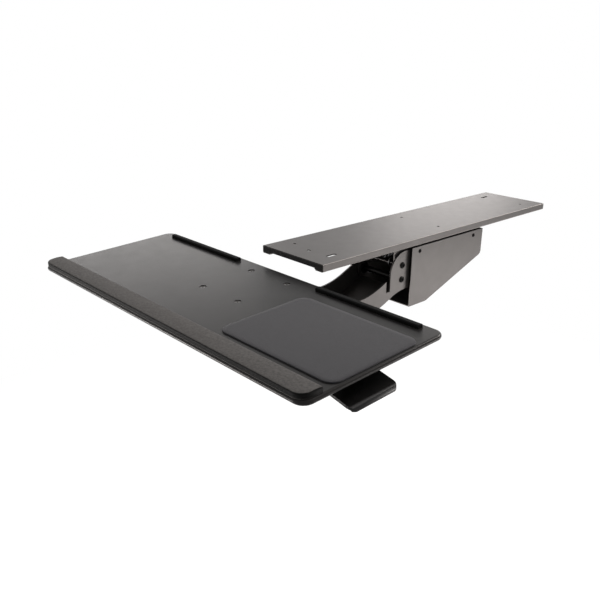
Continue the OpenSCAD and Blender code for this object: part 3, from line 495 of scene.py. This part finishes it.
def wire(name, points, radius, material):
    """Round wire through points."""
    curve = bpy.data.curves.new(name, "CURVE")
    curve.dimensions = "3D"
    curve.bevel_depth = radius
    curve.bevel_resolution = WIRE_FINENESS
    curve.use_fill_caps = True
    spline = curve.splines.new("POLY")
    spline.points.add(len(points) - 1)
    for point, place in zip(spline.points, points):
        point.co = (*place, 1)
    drawn = scene_object(name + "_line", curve)
    mesh = final_mesh(drawn)
    bpy.data.objects.remove(drawn)
    bpy.data.curves.remove(curve)
    mesh.name = name
    dress(mesh, material)
    return scene_object(name, mesh)


def lift_springs(material):
    """Two extension springs from the arm's upper shaft to the anchor pin in the bracket."""
    start = middle_of("spring_shaft")
    end = middle_of("spring_anchor_pin")
    low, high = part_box("spring_shaft")
    pin = (high[2] - low[2]) / 2
    along = end - start
    length = along.length
    turn = Matrix.Rotation(math.atan2(along.z, along.y) - math.pi / 2, 4, "X")
    hook = SPRING_COIL - SPRING_WIRE / 2 - pin - SPRING_PLAY
    tail = 2 * SPRING_COIL + SPRING_NECK
    loop = [(0, SPRING_COIL * math.sin(math.radians(a)), hook - SPRING_COIL * math.cos(math.radians(a)))
            for a in range(-120, 91, 10)]
    last = SPRING_TURNS * COIL_STEPS
    curls = []
    for k in range(2, last - 1):
        a = math.pi / 2 + math.tau * k / COIL_STEPS
        curls.append((SPRING_COIL * math.cos(a), SPRING_COIL * math.sin(a),
                      tail + (length - 2 * tail) * k / last))
    path = loop + [(0, SPRING_COIL, tail - SPRING_LEAD)]
    path += curls + [(0, SPRING_COIL, length - tail + SPRING_LEAD)]
    path += [(0, y, length - z) for _, y, z in reversed(loop)]
    for side, sign in (("left", -1), ("right", 1)):
        aside = Vector((sign * SPRING_APART, 0, 0))
        place = Matrix.Translation(start + aside) @ turn
        piece = wire(f"lift_spring_{side}", [place @ Vector(p) for p in path], SPRING_WIRE / 2, material)
        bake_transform(piece)
    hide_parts("lift_springs")


def return_spring(place, material):
    """Torsion spring on the release rod, with a straight leg at each end."""
    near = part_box("return_spring")[0][0]
    rod = place.inverted() @ middle_of("release_rod")
    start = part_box("brake_fingers")[1][0] + RETURN_GAP
    turns = []
    for k in range(int(RETURN_TURNS * COIL_STEPS) + 1):
        a = math.pi + math.tau * k / COIL_STEPS
        turns.append((start + RETURN_PITCH * k / COIL_STEPS, rod.y + RETURN_COIL * math.cos(a),
                      rod.z + RETURN_COIL * math.sin(a)))
    end_x, end_y, _ = turns[-1]
    path = [(near, rod.y - RETURN_COIL, rod.z)] + turns + [(end_x, end_y, RETURN_LEG_END)]
    piece = wire("return_spring_wire", [place @ Vector(p) for p in path], RETURN_WIRE / 2, material)
    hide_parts("return_spring")
    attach(piece, "lever")


def welded(mesh):
    """Joins the points that a mesh holds once per face."""
    work = bmesh.new()
    work.from_mesh(mesh)
    bmesh.ops.remove_doubles(work, verts=work.verts, dist=1e-6)
    work.to_mesh(mesh)
    work.free()


def flatten_curl(mesh, place, out):
    """Draws the curled outer edge of the paddle up towards its plate."""
    to_tray = place.inverted()
    upright = Vector((math.sin(PADDLE_SLOPE), 0, math.cos(PADDLE_SLOPE)))
    rise = place.to_3x3() @ Vector((0, 0, 1 / math.cos(PADDLE_SLOPE)))
    curl = [point for point in mesh.vertices if point.co.x > out - PADDLE_CURL]
    under = max((to_tray @ point.co).dot(upright) for point in curl) - PADDLE_THICK
    for point in curl:
        deep = under - (to_tray @ point.co).dot(upright)
        if deep > 0:
            point.co += rise * deep * (1 - PADDLE_DROP)


def paddle(place, material):
    """The release paddle with its two outer corners rounded and a low curl."""
    mesh = nodes["lever_paddle"].data.copy()
    welded(mesh)
    dress(mesh, material)
    whole = scene_object("paddle_whole", mesh)
    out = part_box("lever_paddle")[1][0]
    flatten_curl(mesh, place, out)
    back = (place.inverted() @ middle_of("release_rod")).y + PADDLE_BACK
    cutters = []
    for edge, way in ((back, 1), (back - PADDLE_WIDTH, -1)):
        middle = (out - PADDLE_CORNER, edge - way * PADDLE_CORNER)
        past = (out + CUT_SPARE, edge + way * CUT_SPARE)
        outline = arc(middle, PADDLE_CORNER, 0, 90 * way, CORNER_STEPS)
        outline += [(middle[0], past[1]), past, (past[0], middle[1])]
        rings = [[place @ Vector((x, y, z)) for x, y in outline[::-way]] for z in (-CUT_DEPTH, 0)]
        cutter = loft("paddle_corner", rings, material)
        cut = whole.modifiers.new("corner", "BOOLEAN")
        cut.operation = "DIFFERENCE"
        cut.solver = "EXACT"
        cut.object = cutter
        cutters.append(cutter)
    shape = final_mesh(whole)
    for used in (whole, *cutters):
        bpy.data.objects.remove(used)
    for face in shape.polygons:
        face.use_smooth = True
    shape.set_sharp_from_angle(angle=PADDLE_SHARP)
    shape.name = "paddle_plate"
    piece = scene_object("paddle_plate", shape)
    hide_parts("lever_paddle")
    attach(piece, "lever")


def camera():
    data = bpy.data.cameras.new("camera")
    data.sensor_width = CAMERA_SENSOR
    data.lens = CAMERA_LENS
    yaw, pitch, roll = (math.radians(a) for a in (CAMERA_YAW, CAMERA_PITCH, CAMERA_ROLL))
    ahead = Vector((-math.sin(yaw) * math.cos(pitch), math.cos(yaw) * math.cos(pitch), -math.sin(pitch)))
    level = Vector((math.cos(yaw), math.sin(yaw), 0))
    above = level.cross(ahead)
    right = math.cos(roll) * level + math.sin(roll) * above
    up = -math.sin(roll) * level + math.cos(roll) * above
    obj = scene_object("camera", data)
    obj.matrix_world = Matrix.Translation(CAMERA_PLACE) @ Matrix((right, up, -ahead)).transposed().to_4x4()
    bpy.context.scene.camera = obj


def soft_box(name, place, target, width, height, power, mirrored):
    """Rectangular lamp; a lamp that isn't mirrored gives no reflection of itself in glossy faces."""
    data = bpy.data.lights.new(name, "AREA")
    data.shape = "RECTANGLE"
    data.size = width
    data.size_y = height
    data.energy = power
    data.color = WARM_LIGHT
    obj = scene_object(name, data)
    obj.location = place
    obj.rotation_euler = (Vector(target) - Vector(place)).to_track_quat("-Z", "Y").to_euler()
    obj.visible_glossy = mirrored
    obj.visible_camera = False


def seen(tree):
    """1 for rays that show the background: from the camera, or from it by way of a gloss or a clear piece."""
    path = add(tree, "ShaderNodeLightPath")
    total = path.outputs["Is Camera Ray"]
    for name in ("Is Glossy Ray", "Is Transmission Ray"):
        node = add(tree, "ShaderNodeMath", operation="ADD", use_clamp=True)
        tree.links.new(total, node.inputs[0])
        tree.links.new(path.outputs[name], node.inputs[1])
        total = node.outputs["Value"]
    return total


def floor():
    """Pale floor that keeps the object's shadow, fades into the white surround and is clear from below."""
    mat, tree, bsdf = shader("pale_floor")
    bsdf.inputs["Base Color"].default_value = FLOOR_GREY
    bsdf.inputs["Roughness"].default_value = FLOOR_ROUGH
    white = add(tree, "ShaderNodeEmission", Color=WHITE, Strength=1.0).outputs[0]
    glow = add(tree, "ShaderNodeEmission", Color=WHITE, Strength=FLOOR_GLOW).outputs[0]
    both = add(tree, "ShaderNodeAddShader")
    tree.links.new(bsdf.outputs[0], both.inputs[0])
    tree.links.new(glow, both.inputs[1])
    around = texture(tree, "ShaderNodeMapping", "Vector", Scale=(FLOOR_FADE, FLOOR_FADE, 0))
    spot = add(tree, "ShaderNodeTexGradient", gradient_type="SPHERICAL")
    tree.links.new(around, spot.inputs["Vector"])
    look = mix_shaders(tree, spot.outputs["Fac"], white, both.outputs[0])
    top = mix_shaders(tree, seen(tree), bsdf.outputs[0], look)
    below = add(tree, "ShaderNodeNewGeometry").outputs["Backfacing"]
    whole = mix_shaders(tree, below, top, add(tree, "ShaderNodeBsdfTransparent").outputs[0])
    tree.links.new(whole, tree.nodes["Material Output"].inputs["Surface"])
    corners = [(sx * FLOOR_REACH, sy * FLOOR_REACH, FLOOR_Z)
               for sx, sy in ((-1, -1), (1, -1), (1, 1), (-1, 1))]
    piece = mesh_piece("floor", corners, [(0, 1, 2, 3)], mat, smooth=False)


def studio():
    """White surround where it is seen, a dim even sky for everything else, and soft boxes around."""
    world = bpy.data.worlds.new("studio")
    bpy.context.scene.world = world
    world.use_nodes = True
    tree = world.node_tree
    tree.nodes.clear()
    sky = add(tree, "ShaderNodeBackground", Color=WHITE, Strength=SKY).outputs[0]
    white = add(tree, "ShaderNodeBackground", Color=WHITE, Strength=1.0).outputs[0]
    out = add(tree, "ShaderNodeOutputWorld")
    tree.links.new(mix_shaders(tree, seen(tree), sky, white), out.inputs["Surface"])
    bpy.context.scene.view_settings.view_transform = "Standard"
    for lamp in LAMPS:
        soft_box(*lamp)


camera()
finishes = paint_nodes()
tray_place = tray_frame()
palm_rest(tray_place, finishes["grey_padding"])
mouse_pad(tray_place, finishes["pad_cloth"])
lift_springs(finishes["spring_steel"])
return_spring(tray_place, finishes["spring_steel"])
paddle_nylon = moulded_plastic("paddle_nylon", (0.006, 0.0056, 0.0053), (0.009, 0.0084, 0.008), 0.3, 0.2)
paddle(tray_place, paddle_nylon)
floor()
studio()
